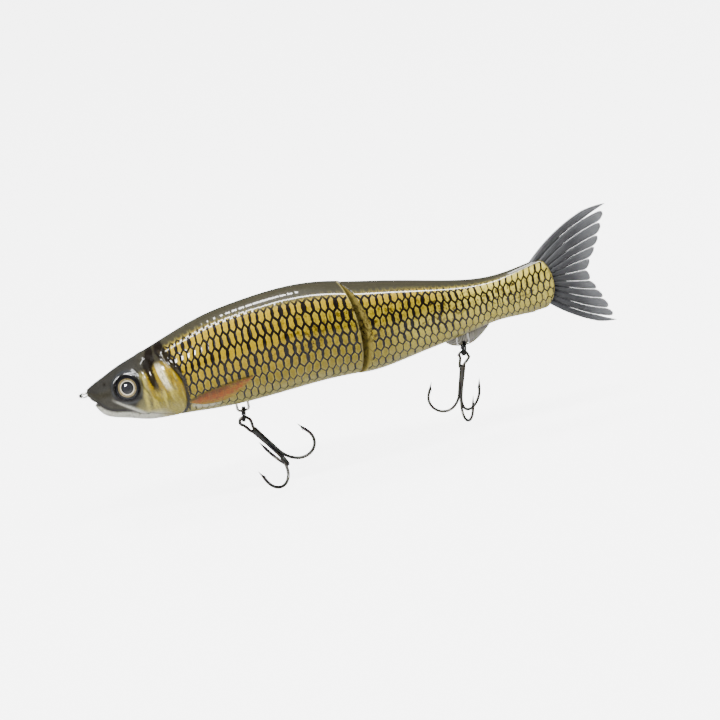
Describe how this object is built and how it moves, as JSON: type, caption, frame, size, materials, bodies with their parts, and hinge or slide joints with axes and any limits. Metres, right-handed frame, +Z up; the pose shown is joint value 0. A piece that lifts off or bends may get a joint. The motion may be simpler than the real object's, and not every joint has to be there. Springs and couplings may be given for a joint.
{
  "type": "jointed swimbait",
  "caption": "Two-section hard fishing lure with a vertical body hinge, soft fan tail, wire line tie and treble hooks hung on split rings.",
  "frame": {"origin": "centre of the line tie's wire ring at the nose", "axes": "+X aft along the body, +Y to the lure's right side, +Z up"},
  "size_m": [0.2364, 0.0302, 0.0919],
  "materials": {
    "painted_shell": "clear-coated painted scales",
    "stainless_wire": "drawn wire",
    "eye_foil": "printed foil",
    "eye_lens": "clear resin dome",
    "ballast": "plain",
    "pale_fin": "translucent",
    "smoke_elastomer": "translucent satin",
    "dark_pin": "plain",
    "black_nickel": "black nickel plate"
  },
  "bodies": {
    "front_section": {"front_shell_left": "painted_shell", "front_shell_right": "painted_shell", "line_tie": "stainless_wire", "front_hook_hanger": "stainless_wire", "upper_joint_eye": "stainless_wire", "lower_joint_eye": "stainless_wire", "eye_base_left": "eye_foil", "eye_base_right": "eye_foil", "eye_lens_left": "eye_lens", "eye_lens_right": "eye_lens", "front_ballast_fore": "ballast", "front_ballast_aft": "ballast"},
    "rear_section": {"rear_shell_left": "painted_shell", "rear_shell_right": "painted_shell", "rear_hook_hanger": "stainless_wire", "joint_pin": "stainless_wire", "rear_ballast": "ballast", "anal_fin": "pale_fin", "tail_fin": "smoke_elastomer", "tail_pin": "dark_pin"},
    "front_ring": {"front_split_ring": "black_nickel"},
    "rear_ring": {"rear_split_ring": "black_nickel"},
    "front_treble": {"front_double_hook": "black_nickel", "front_single_hook": "black_nickel"},
    "rear_treble": {"rear_double_hook": "black_nickel", "rear_single_hook": "black_nickel"}
  },
  "joints": [
    {"name": "body_hinge", "type": "hinge", "parent": "front_section", "child": "rear_section", "pos_m": [0.1205, 0, 0.0035], "axis": [0, 0, 1], "range_deg": [-20, 20]},
    {"name": "front_ring_swing", "type": "hinge", "parent": "front_section", "child": "front_ring", "pos_m": [0.0646, 0, -0.0226], "axis": [1, 0, 0], "range_deg": [-60, 60]},
    {"name": "front_treble_swing", "type": "hinge", "parent": "front_ring", "child": "front_treble", "pos_m": [0.0636, 0, -0.02732], "axis": [0, 1, 0], "range_deg": [-15, 60]},
    {"name": "rear_ring_swing", "type": "hinge", "parent": "rear_section", "child": "rear_ring", "pos_m": [0.1635, 0, -0.015], "axis": [1, 0, 0], "range_deg": [-60, 60]},
    {"name": "rear_treble_swing", "type": "hinge", "parent": "rear_ring", "child": "rear_treble", "pos_m": [0.16262, 0, -0.01974], "axis": [0, 1, 0], "range_deg": [-50, 20]}
  ]
}
